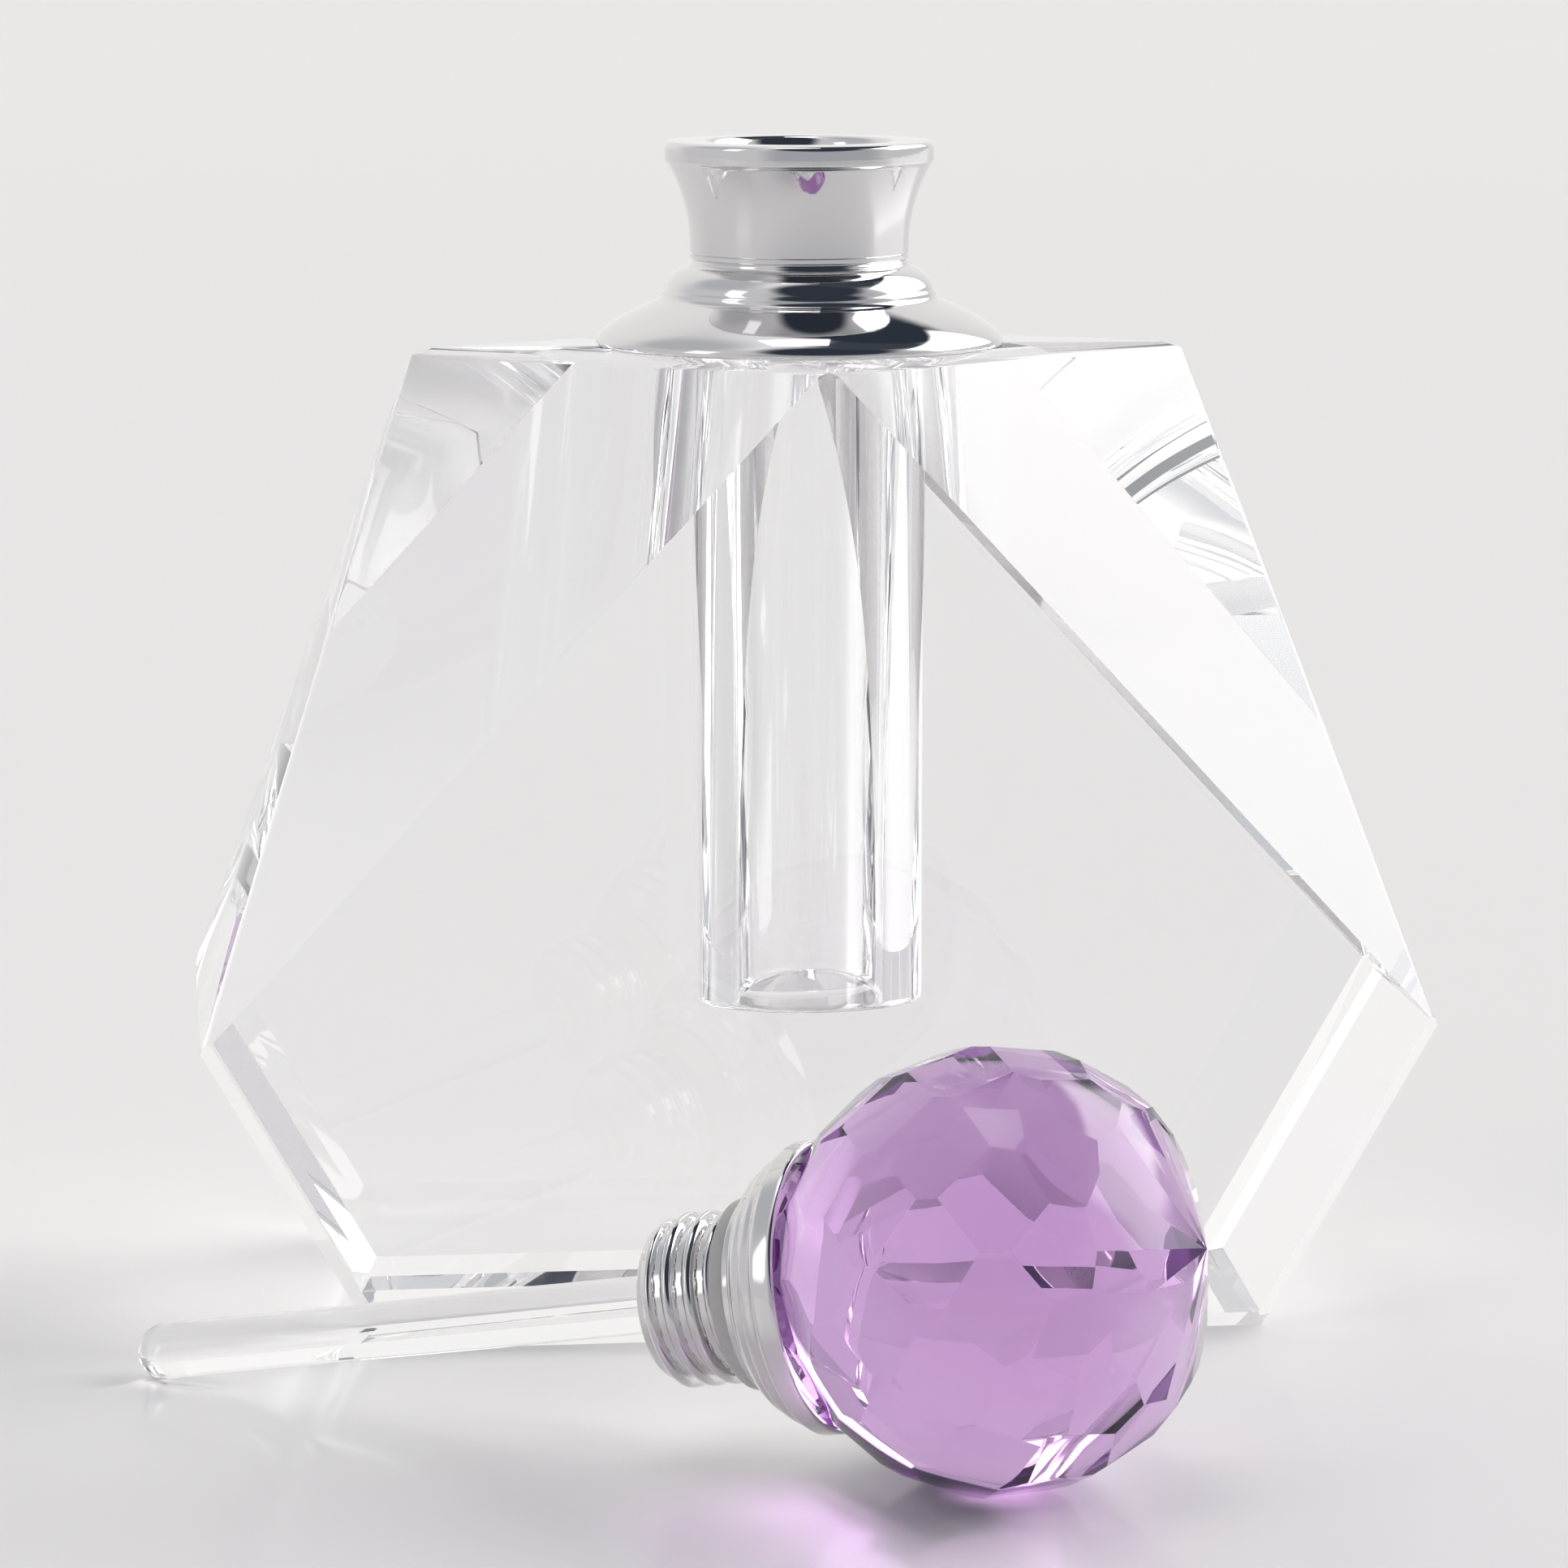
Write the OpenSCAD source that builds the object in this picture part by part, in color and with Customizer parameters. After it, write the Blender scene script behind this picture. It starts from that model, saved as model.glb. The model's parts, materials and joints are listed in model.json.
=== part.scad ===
// Faceted crystal perfume bottle with its dauber stopper laid on the table beside it.
// The bottle stands at the origin: +Z is up, X runs along its width, the front face looks towards -Y.

/* [Glass body] */
// Width across the two widest corners
body_w = 90; // [80:1:100]
// Width of the top face, tip to tip, before its edges are bevelled
top_w = 57; // [52:1:62]
// Width of the base
base_w = 64.5; // [58:0.5:72]
// Thickness, front face to back face
body_t = 36.4; // [34:0.2:42]
// Height of the glass
body_h = 71; // [64:1:80]
// Height of the widest corners above the base
corner_h = 22.2; // [16:0.2:30]
// Polished bevel along the four top edges
top_bevel = 0.75; // [0.4:0.05:1.2]
// Polished bevel around the lower edges of the front and back faces
low_bevel = 1.05; // [0.5:0.05:1.6]
// Fine bevel between the side facets and the large sloping facets
side_bevel = 0.35; // [0.2:0.05:0.6]

/* [Well and collar] */
// Diameter of the well drilled for the perfume
well_d = 17; // [14:0.5:18]
// Thickness of glass left under the well
well_floor = 23; // [12:0.5:30]
// Diameter of the collar's flange
flange_d = 30.1; // [28:0.1:31]
// Diameter of the collar's narrow neck
neck_d = 16.1; // [15.5:0.1:17]
// Diameter of the collar's lip
lip_d = 19.8; // [18.4:0.1:21]
// Height of the collar above the glass
collar_h = 15; // [14:0.5:18]
// Diameter of the collar's bore, at the crests of its thread
bore_d = 12.1; // [12.1:0.1:12.8]
// Thickness of the clear glue under the collar and under the ball
glue_t = 0.1; // [0.06:0.02:0.2]

/* [Stopper] */
// Diameter of the ball across its corners
ball_d = 30; // [29:0.2:32]
// Diameter of the dauber rod
rod_d = 4; // [3.6:0.1:4.4]
// Distance from the ball's centre to the centre of the rod's rounded tip
rod_reach = 64.6; // [50:0.1:68]
// Diameter over the plug's thread
thread_d = 11.9; // [11.6:0.1:11.9]
// Pitch of the plug's thread
thread_pitch = 1.6; // [1.2:0.1:1.8]

/* [Where the stopper lies] */
// Ball centre, to the right of the bottle's axis
lie_x = 6.9; // [0:0.1:16]
// Ball centre, in front of the bottle's axis
lie_y = -55; // [-70:0.5:-52]
// Heading of the ball end, turned from +X towards the front
lie_heading = -30.4; // [-34:0.2:-20]

/* [Hidden] */
$fn = 96;
eps = 0.01;

// Glass: half sizes, and the corners that the facets run through
half_t = body_t / 2;
middle = [0, 0, body_h / 2];
big = 2 * body_w;
well_r = well_d / 2;
well_chamfer = 0.6;

// Collar: heights are above the glass
bore_r = bore_d / 2;
lip_r = lip_d / 2;
neck_r = neck_d / 2;
flange_r = flange_d / 2;
spigot_r = well_r - 0.1;
spigot_h = 1.5;
bell_top = [10.4, 3.45];
bead_r = 10;
bead_low = 4.1;
bead_top = 5.95;
flare_from = 7;
lip_low = collar_h - 1.55;
collar_glue_r = 12;

// Ball: twelve facets round, cut in staggered rings by planes at these polar angles
facets_round = 12;
facet_step = 360 / facets_round;
facet_r = 0.968 * ball_d / 2;
star_angle = 22;
star_r = 0.92 * ball_d / 2;
ring_step = 17.5;
lying_ring = 3;
seat_z = 12.7;

// Stopper metalwork: heights are distances below the ball's centre
seat_r = 7.6;
cup_seat = seat_z + glue_t;
cup_base = 17.1;
cup_base_r = 6.8;
gasket_t = 1.1;
gasket_r = 6.6;
land_r = 5.3;
core_r = 5.2;
plug_end = 24.3;
thread_from = 23.45;
thread_to = 18.9;
thread_start = 240;
plug_spigot_r = 3;
bush_r = 2.6;
bush_top = 14.6;
rod_r = rod_d / 2;
thread_r = thread_d / 2;
fit = 0.05;

// The lying stopper rests on one ball facet and on the rod's tip
tilt = asin((facet_r - rod_r) / rod_reach);

// ---------------------------------------------------------------- helpers

function unit(v) = v / norm(v);

// A plane is [outward unit normal, distance from the origin]
function plane_through(a, b, c) =
    let (n = unit(cross(b - a, c - a)), s = n * (a - middle) > 0 ? 1 : -1) [s * n, s * n * a];

// The bevel plane that cuts the edge of planes p and q back by w on both, where the edge runs through e
function bevel_plane(p, q, e, w) =
    let (along = unit(cross(p[0], q[0])),
         inward = cross(along, p[0]),
         t = inward * q[0] < 0 ? inward : -inward,
         n = unit(p[0] + q[0]))
    [n, n * (e + w * t)];

// Where two lines r*a + z*b = d meet in a half plane: returns [r, z]
function meet(a1, b1, d1, a2, b2, d2) =
    let (det = a1 * b2 - a2 * b1) [(d1 * b2 - d2 * b1) / det, (a1 * d2 - a2 * d1) / det];

// A point at parameter t of the curve from p to r that is pulled towards q
function bend(p, q, r, t) = (1 - t) * (1 - t) * p + 2 * t * (1 - t) * q + t * t * r;

// Everything on the outer side of a plane
module beyond(plane) {
    n = plane[0];
    rotate([0, acos(n[2]), atan2(n[1], n[0])])
        translate([-big, -big, plane[1]]) cube([2 * big, 2 * big, big]);
}

// Moves a stopper piece from its own frame (ball centre at 0, pole up) to where it lies
module lying() {
    translate([lie_x, lie_y, facet_r]) rotate([0, 90 - tilt, lie_heading]) children();
}

// ---------------------------------------------------------------- glass

// The planes of the corner at sides sx (left or right) and sy (front or back)
function slope_plane(sx, sy) = plane_through(
    [sx * top_w / 2, 0, body_h], [0, sy * half_t, body_h], [sx * body_w / 2, sy * half_t, corner_h]);
function side_plane(sx) = plane_through(
    [sx * top_w / 2, 0, body_h], [sx * body_w / 2, -half_t, corner_h], [sx * body_w / 2, half_t, corner_h]);
function lower_plane(sx) = plane_through(
    [sx * body_w / 2, -half_t, corner_h], [sx * body_w / 2, half_t, corner_h], [sx * base_w / 2, half_t, 0]);
function face_plane(sy) = [[0, sy, 0], half_t];
top_plane = [[0, 0, 1], body_h];
base_plane = [[0, 0, -1], 0];

// The silhouette seen from the front, as a prism through the whole thickness
module blank() {
    rotate([90, 0, 0]) linear_extrude(body_t, center = true) polygon([
        [-base_w / 2, 0], [base_w / 2, 0], [body_w / 2, corner_h],
        [top_w / 2, body_h], [-top_w / 2, body_h], [-body_w / 2, corner_h]]);
}

module facet_cuts() {
    for (sx = [-1, 1], sy = [-1, 1]) {
        slope = slope_plane(sx, sy);
        beyond(slope);
        beyond(bevel_plane(top_plane, slope, [0, sy * half_t, body_h], top_bevel));
        beyond(bevel_plane(side_plane(sx), slope, [sx * top_w / 2, 0, body_h], side_bevel));
        beyond(bevel_plane(face_plane(sy), lower_plane(sx), [sx * base_w / 2, sy * half_t, 0], low_bevel));
    }
    for (sy = [-1, 1])
        beyond(bevel_plane(face_plane(sy), base_plane, [0, sy * half_t, 0], 1.25 * low_bevel));
}

// The flat-bottomed well, with a small ground chamfer round its floor
module well() {
    translate([0, 0, well_floor + well_chamfer]) cylinder(r = well_r, h = body_h);
    translate([0, 0, well_floor])
        cylinder(r1 = well_r - well_chamfer, r2 = well_r, h = well_chamfer + eps);
}

module glass_body() {
    color("gainsboro", 0.5) difference() {
        blank();
        facet_cuts();
        well();
    }
}

// ---------------------------------------------------------------- collar

module collar_adhesive() {
    color("white", 0.5) translate([0, 0, body_h]) difference() {
        cylinder(r = collar_glue_r, h = glue_t);
        translate([0, 0, -eps]) cylinder(r = well_r, h = glue_t + 2 * eps);
    }
}

// Outer outline of the collar, from the flange's underside up to the lip
function collar_outline() = [
    [flange_r - 0.15, glue_t],
    for (i = [0:8]) bend([flange_r, 0.4], [flange_r - 0.15, 1.5], bell_top, i / 8),
    [bead_r + 0.05, bead_low - 0.35],
    for (i = [0:8]) bend([bead_r, bead_low], [bead_r - 0.3, bead_top - 0.65], [neck_r, bead_top], i / 8),
    for (i = [0:8]) [neck_r + (lip_r - 0.12 - neck_r) * pow(i / 8, 2.2),
                     flare_from + (lip_low - flare_from) * i / 8],
    [lip_r, lip_low + 0.2],
    [lip_r, collar_h - 0.25],
    [lip_r - 0.25, collar_h]];

module neck_collar() {
    color("silver") translate([0, 0, body_h]) difference() {
        rotate_extrude() polygon(concat(
            [[0, -spigot_h], [spigot_r, -spigot_h], [spigot_r, glue_t]],
            collar_outline(),
            [[0, collar_h]]));
        translate([0, 0, -spigot_h - eps]) cylinder(r = bore_r, h = collar_h + spigot_h + 1);
        translate([0, 0, collar_h - 0.7])
            cylinder(r1 = bore_r, r2 = bore_r + 0.8, h = 0.7 + eps);
    }
}

// ---------------------------------------------------------------- ball

// Polar angle, plane distance and azimuth offset of facet ring k; ring -1 is the star round the pole
function ring_angle(k) = k < 0 ? star_angle : 90 + tilt + (k - lying_ring) * ring_step;
function ring_dist(k) = k < 0 ? star_r : facet_r;
function ring_odd(k) = k % 2 == 0 ? 1 : 0;
last_ring = 5;

// Corners between rings k and k+1, as [radius, height]: where two facets of the upper ring meet one below,
// and where one facet of the upper ring meets two below
function corner_above(k) = meet(
    sin(ring_angle(k)) * cos(facet_step / 2), cos(ring_angle(k)), ring_dist(k),
    sin(ring_angle(k + 1)), cos(ring_angle(k + 1)), ring_dist(k + 1));
function corner_below(k) = meet(
    sin(ring_angle(k)), cos(ring_angle(k)), ring_dist(k),
    sin(ring_angle(k + 1)) * cos(facet_step / 2), cos(ring_angle(k + 1)), ring_dist(k + 1));
seat_corner = [(facet_r + seat_z * cos(ring_angle(last_ring)))
               / (sin(ring_angle(last_ring)) * cos(facet_step / 2)), -seat_z];

// One circle of corners: odd circles are turned by half a facet
function circle_of(corner, odd) = [for (j = [0:facets_round - 1])
    let (a = facet_step * (j + odd / 2)) [corner[0] * cos(a), corner[0] * sin(a), corner[1]]];
ball_corners = concat(
    [[0, 0, star_r / cos(star_angle)]],
    [for (k = [-1:last_ring - 1])
        each concat(circle_of(corner_above(k), ring_odd(k + 1)), circle_of(corner_below(k), ring_odd(k)))],
    circle_of(seat_corner, 1 - ring_odd(last_ring)));

// Index of corner j in the circle above (0) or below (1) the ring boundary k, and in the seat's circle
function at(k, circle, j) =
    1 + facets_round * (2 * (k + 1) + circle) + (j + facets_round) % facets_round;
function at_seat(j) = 1 + facets_round * 2 * (last_ring + 1) + (j + facets_round) % facets_round;
// Neighbour indices half a facet to each side of facet j in ring k
function lo(k, j) = ring_odd(k) == 1 ? j : j - 1;
function hi(k, j) = lo(k, j) + 1;

ball_faces = concat(
    [for (j = [0:facets_round - 1]) [0, at(-1, 0, hi(-1, j)), at(-1, 1, j), at(-1, 0, lo(-1, j))]],
    [for (k = [0:last_ring - 1], j = [0:facets_round - 1])
        [at(k - 1, 0, j), at(k - 1, 1, hi(k, j)), at(k, 0, hi(k, j)),
         at(k, 1, j), at(k, 0, lo(k, j)), at(k - 1, 1, lo(k, j))]],
    [for (j = [0:facets_round - 1])
        [at(last_ring - 1, 0, j), at(last_ring - 1, 1, hi(last_ring, j)), at_seat(hi(last_ring, j)),
         at_seat(lo(last_ring, j)), at(last_ring - 1, 1, lo(last_ring, j))]],
    [[for (j = [0:facets_round - 1]) at_seat(j)]]);

module stopper_ball() {
    color("plum") lying() polyhedron(ball_corners, ball_faces, convexity = 2);
}

module ball_adhesive() {
    color("white", 0.5) lying() translate([0, 0, -cup_seat]) cylinder(r = seat_r, h = glue_t);
}

// ---------------------------------------------------------------- stopper metalwork

// Stepped cup that the ball sits in: outline from the seat out over the rim and down to the base
module ferrule_cup() {
    rim_r = 9.55;
    color("silver") lying() difference() {
        rotate_extrude() polygon([
            [0, -cup_seat], [8.3, -cup_seat], [rim_r, -11.8], [rim_r + 0.25, -11.85],
            [rim_r + 0.35, -12.1], [rim_r + 0.35, -13.3], [rim_r + 0.1, -13.6],
            [9.25, -13.75], [9.25, -14.35], [8.95, -14.75], [8.6, -14.85], [8.55, -15.35],
            [8.1, -15.8], [7.7, -15.9], [7.45, -16.35], [cup_base_r, -16.6], [cup_base_r, -cup_base],
            [0, -cup_base]]);
        translate([0, 0, -cup_base - eps]) cylinder(r = plug_spigot_r, h = cup_base - cup_seat - 0.6);
    }
}

// One rounded thread ridge wound round the plug: a strip of cross sections joined into a closed skin
module thread_ridge(r_root, r_crest, z_low, z_high, pitch) {
    steps = round(36 * (z_high - z_low) / pitch);
    half = 0.46 * pitch;
    fade = 10;
    function height(i) = (r_crest - r_root) * min(1, i / fade, (steps - i) / fade);
    section = [[0, -0.6], [1, 0], [0.55, 0.62], [0, 1], [-0.55, 0.62], [-1, 0]];
    m = len(section);
    skin = [for (i = [0:steps], p = section)
        let (a = i * 10, r = r_root - 0.1 + p[1] * (height(i) + 0.1))
        [r * cos(a), r * sin(a), z_low + pitch * i / 36 + p[0] * half]];
    polyhedron(skin, concat(
        [[for (j = [0:m - 1]) j]],
        [for (i = [0:steps - 1], j = [0:m - 1])
            [i * m + j, (i + 1) * m + j, (i + 1) * m + (j + 1) % m, i * m + (j + 1) % m]],
        [[for (j = [m - 1:-1:0]) steps * m + j]]), convexity = 10);
}

module threaded_plug() {
    color("silver") lying() difference() {
        union() {
            translate([0, 0, -plug_end + 0.35]) cylinder(r = core_r, h = plug_end - 0.35 - cup_base - gasket_t - 0.1);
            translate([0, 0, -plug_end]) cylinder(r1 = core_r - 0.35, r2 = core_r, h = 0.35 + eps);
            translate([0, 0, -cup_base - gasket_t - 0.2]) cylinder(r = land_r, h = gasket_t + 0.2);
            translate([0, 0, -cup_base - eps])
                cylinder(r = plug_spigot_r - fit, h = cup_base - cup_seat - 0.7);
            rotate(thread_start) thread_ridge(core_r, thread_r, -thread_from, -thread_to, thread_pitch);
        }
        translate([0, 0, -plug_end - 1]) cylinder(r = bush_r, h = plug_end + 1 - bush_top);
    }
}

module sealing_gasket() {
    color("whitesmoke") lying() translate([0, 0, -cup_base - fit - gasket_t]) difference() {
        cylinder(r1 = gasket_r - 0.25, r2 = gasket_r, h = gasket_t);
        translate([0, 0, -eps]) cylinder(r = land_r + 0.1, h = gasket_t + 2 * eps);
    }
}

module rod_bush() {
    color("white") lying() difference() {
        translate([0, 0, -plug_end + 0.3]) cylinder(r = bush_r, h = plug_end - 0.3 - bush_top);
        translate([0, 0, -plug_end]) cylinder(r = rod_r, h = plug_end - bush_top - 0.8);
    }
}

module dauber_rod() {
    color("lightcyan", 0.6) lying() {
        translate([0, 0, -rod_reach]) cylinder(r = rod_r, h = rod_reach - bush_top - 0.8);
        intersection() {
            translate([0, 0, -rod_reach]) sphere(r = rod_r);
            translate([-rod_r - 1, -rod_r - 1, -rod_reach - rod_r - 1])
                cube([2 * rod_r + 2, 2 * rod_r + 2, rod_r + 1]);
        }
    }
}

glass_body();
collar_adhesive();
neck_collar();
stopper_ball();
ball_adhesive();
ferrule_cup();
threaded_plug();
sealing_gasket();
rod_bush();
dauber_rod();
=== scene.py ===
"""A cut-crystal perfume bottle with its faceted stopper laid in front of it.

The clear body is ground flat on every side and drilled with one well. A turned, chromed collar
is glued over the well. The stopper is a lilac crystal ball glued into a stepped chromed cup, with a
threaded plug, a soft sealing ring and a clear glass dauber rod. Sizes in the classes are
millimetres in the model's own frame; every mesh is written in metres.
"""
import itertools
import json
import logging
import math
from dataclasses import dataclass
from enum import Enum
from typing import Callable, Optional, Sequence, Union

import bpy
import numpy as np
from bpy.types import Material, Node, NodeSocket, NodeTree, Object
from mathutils import Matrix


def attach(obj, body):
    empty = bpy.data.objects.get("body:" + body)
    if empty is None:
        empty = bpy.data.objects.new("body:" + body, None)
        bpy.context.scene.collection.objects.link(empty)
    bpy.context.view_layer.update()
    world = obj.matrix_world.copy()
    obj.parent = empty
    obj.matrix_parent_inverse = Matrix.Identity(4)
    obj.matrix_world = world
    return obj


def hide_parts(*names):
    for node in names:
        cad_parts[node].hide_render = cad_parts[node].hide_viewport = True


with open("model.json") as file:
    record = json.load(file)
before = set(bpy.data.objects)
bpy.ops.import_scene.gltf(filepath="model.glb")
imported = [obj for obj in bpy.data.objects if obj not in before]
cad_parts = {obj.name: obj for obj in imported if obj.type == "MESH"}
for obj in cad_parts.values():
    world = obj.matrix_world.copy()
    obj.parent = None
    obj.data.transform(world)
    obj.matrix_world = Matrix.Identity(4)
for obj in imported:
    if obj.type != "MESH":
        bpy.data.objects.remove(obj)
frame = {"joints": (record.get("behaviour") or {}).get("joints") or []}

LOG = logging.getLogger("perfume_bottle")
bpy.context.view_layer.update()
MM = 0.001


class Body(Enum):
    """The rigid bodies that pieces ride on."""

    BOTTLE = "bottle"
    SEAL = "seal"
    STOPPER = "stopper"


class Slot(Enum):
    """The record's material slots, one named with each new piece; nothing reads them, and each piece takes
    its finish from the material it is given.
    """

    CLEAR_CRYSTAL = "clear_crystal"
    LILAC_CRYSTAL = "lilac_crystal"
    ROD_GLASS = "rod_glass"
    CHROME = "chromed_metal"
    GLUE = "clear_glue"
    POLYMER = "seal_polymer"


# ---------------- colour and nodes


def linear(code: str) -> tuple[float, float, float, float]:
    """Turns an sRGB hex colour into linear light.

    Args:
        code: Six hex digits, with or without a leading hash sign.

    Returns:
        Red, green and blue in linear light, and an alpha of one.
    """
    srgb = np.array([int(code.lstrip("#")[i:i + 2], 16) for i in (0, 2, 4)]) / 255
    lin = np.where(srgb <= 0.04045, srgb / 12.92, ((srgb + 0.055) / 1.055) ** 2.4)
    return (*(float(c) for c in lin), 1.0)


def add_node(tree: NodeTree, kind: str, sockets: Optional[dict] = None, **settings) -> Node:
    """Adds a shader node, sets it up and links it.

    Args:
        tree: The node tree to add to.
        kind: The node's type name without the ShaderNode prefix.
        sockets: Input name or index, mapped to a plain value or to the output socket that feeds it.
        **settings: Properties of the node itself.

    Returns:
        The new node.
    """
    node = tree.nodes.new("ShaderNode" + kind)
    for name, value in settings.items():
        setattr(node, name, value)
    for name, value in (sockets or {}).items():
        if isinstance(value, NodeSocket):
            tree.links.new(value, node.inputs[name])
        else:
            node.inputs[name].default_value = value
    return node


def noise(tree: NodeTree, where: NodeSocket, lump_mm: float, detail: float, **more: float) -> NodeSocket:
    """Adds noise with lumps of about a size, sampled at a place in metres."""
    inputs = {"Vector": where, "Scale": 1 / (lump_mm * MM), "Detail": detail, **more}
    return add_node(tree, "TexNoise", inputs).outputs["Fac"]


def bumped(tree: NodeTree, height: NodeSocket, strength: float, depth_mm: float,
           **more: NodeSocket) -> NodeSocket:
    """Turns a height, which reaches the depth at 1, into a shading normal."""
    inputs = {"Height": height, "Strength": strength, "Distance": depth_mm * MM, **more}
    return add_node(tree, "Bump", inputs).outputs["Normal"]


def spread(tree: NodeTree, value: NodeSocket, start: float, stop: float, low: float = 0.0,
           high: float = 1.0, **settings: str) -> NodeSocket:
    """Maps start and stop of a value to low and high, and holds it there beyond them."""
    inputs = {"Value": value, "From Min": start, "From Max": stop, "To Min": low, "To Max": high}
    return add_node(tree, "MapRange", inputs, **settings).outputs["Result"]


def two_tone(tree: NodeTree, share: NodeSocket, *codes: str) -> NodeSocket:
    """Fades from one colour to another.

    Args:
        tree: The node tree to add to.
        share: How much of the second colour shows.
        *codes: The two colours.

    Returns:
        The colour.
    """
    ramp = add_node(tree, "ValToRGB", {"Fac": share})
    for stop, code in zip(ramp.color_ramp.elements, codes):
        stop.color = linear(code)
    return ramp.outputs["Color"]


# ---------------- finishes


@dataclass(frozen=True)
class Finish:
    """A named finish. Each kind adds its own surface in the piece's own coordinates."""

    name: str

    def surface(self, tree: NodeTree, where: Node, out: Node) -> Node:
        """Adds the shader of the finish.

        Args:
            tree: The material's node tree.
            where: The texture coordinates.
            out: The output node, for a finish that has more than a surface.

        Returns:
            The shader.
        """
        raise NotImplementedError

    def make(self) -> Material:
        """Builds the material.

        Returns:
            A material with the finish's shader on its surface.
        """
        material = bpy.data.materials.new(self.name)
        material.use_nodes = True
        tree = material.node_tree
        tree.nodes.clear()
        out = add_node(tree, "OutputMaterial")
        shader = self.surface(tree, add_node(tree, "TexCoord"), out)
        tree.links.new(shader.outputs["BSDF"], out.inputs["Surface"])
        return material


@dataclass(frozen=True)
class CutCrystal(Finish):
    """Cut and polished crystal glass, clear or coloured through its depth.

    Flat-lapped on a wheel and polished, so each facet mirrors its surroundings sharply. Faint
    cords of uneven melt bend what shows through it a little, and handling leaves a thin haze.
    """

    depth_colour: Optional[str] = None
    per_metre: float = 0.0
    ior: float = 1.517
    haze: float = 0.012
    cord_mm: float = 9.0
    cord_depth_mm: float = 0.004
    smear_mm: float = 14.0

    def surface(self, tree: NodeTree, where: Node, out: Node) -> Node:
        """Adds glass and, where it is coloured, an absorbing volume. See Finish."""
        place = where.outputs["Object"]
        ripple = bumped(tree, noise(tree, place, self.cord_mm, 1.0), 1.0, self.cord_depth_mm)
        smears = noise(tree, place, self.smear_mm, 4.0, Distortion=0.8)
        if self.depth_colour:
            depth = add_node(tree, "VolumeAbsorption", {
                "Color": linear(self.depth_colour), "Density": self.per_metre})
            tree.links.new(depth.outputs["Volume"], out.inputs["Volume"])
        return add_node(tree, "BsdfPrincipled", {
            "Base Color": (1, 1, 1, 1), "Transmission Weight": 1.0, "IOR": self.ior,
            "Roughness": spread(tree, smears, 0.55, 0.8, 0.0, self.haze), "Normal": ripple})


@dataclass(frozen=True)
class ChromePlate(Finish):
    """Bright decorative chrome over turned and buffed brass.

    Neutral grey mirror. Buffing leaves hairlines round the turned piece, and the plate has a faint
    orange-peel swell and a few dull smears from handling.
    """

    colour: str = "#DFDEDE"
    rough_low: float = 0.025
    rough_high: float = 0.10
    hairline_mm: float = 0.12  # really about 0.01, drawn as coarse as it needs to show
    hairline_depth_mm: float = 0.0012
    swell_mm: float = 2.2
    swell_depth_mm: float = 0.012
    smear_mm: float = 3.5

    def surface(self, tree: NodeTree, where: Node, out: Node) -> Node:
        """Adds a metal whose hairlines follow the turned surface. See Finish."""
        place = where.outputs["Object"]
        drawn = add_node(tree, "Mapping", {
            "Vector": where.outputs["UV"], "Scale": (3.0, 1 / self.hairline_mm, 1.0)})
        hairs = add_node(tree, "TexNoise", {"Vector": drawn.outputs["Vector"], "Scale": 1.0, "Detail": 3.0})
        fine = bumped(tree, hairs.outputs["Fac"], 0.35, self.hairline_depth_mm)
        coarse = bumped(tree, noise(tree, place, self.swell_mm, 2.0), 0.6, self.swell_depth_mm, Normal=fine)
        smears = noise(tree, place, self.smear_mm, 6.0, Roughness=0.65)
        return add_node(tree, "BsdfPrincipled", {
            "Base Color": linear(self.colour), "Metallic": 1.0,
            "Roughness": spread(tree, smears, 0.42, 0.75, self.rough_low, self.rough_high), "Normal": coarse})


@dataclass(frozen=True)
class MilkyPolymer(Finish):
    """Moulded low-density polyethylene, milky and slightly waxy: light soaks in and spreads."""

    light: str = "#DEDDDA"
    dark: str = "#CFCECB"
    flow_mm: float = 1.5
    grain_mm: float = 0.25  # really about 0.05, drawn as coarse as it needs to show
    grain_depth_mm: float = 0.01

    def surface(self, tree: NodeTree, where: Node, out: Node) -> Node:
        """Adds a soft, scattering plastic with a fine moulded texture. See Finish."""
        place = where.outputs["Object"]
        tone = two_tone(tree, noise(tree, place, self.flow_mm, 3.0), self.dark, self.light)
        grain = bumped(tree, noise(tree, place, self.grain_mm, 2.0), 0.4, self.grain_depth_mm)
        return add_node(tree, "BsdfPrincipled", {
            "Base Color": tone, "Roughness": 0.38, "IOR": 1.51, "Transmission Weight": 0.35,
            "Subsurface Weight": 0.5, "Subsurface Radius": (0.8, 0.8, 0.8), "Subsurface Scale": 0.001,
            "Normal": grain})


@dataclass(frozen=True)
class GlueFilm(Finish):
    """Ultraviolet-cured acrylic glue, clear with fine trapped bubbles, so it reads as a grey film."""

    colour: str = "#E4E5E6"
    bubble_mm: float = 0.9  # really about 0.2, drawn as coarse as it needs to show

    def surface(self, tree: NodeTree, where: Node, out: Node) -> Node:
        """Adds a clear film, hazed where bubbles are trapped. See Finish."""
        bubbles = add_node(tree, "TexVoronoi", {
            "Vector": where.outputs["Object"], "Scale": 1 / (self.bubble_mm * MM)})
        return add_node(tree, "BsdfPrincipled", {
            "Base Color": linear(self.colour), "Transmission Weight": 0.85, "IOR": 1.49,
            "Roughness": spread(tree, bubbles.outputs["Distance"], 0.1, 0.4, 0.5, 0.12)})


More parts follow.
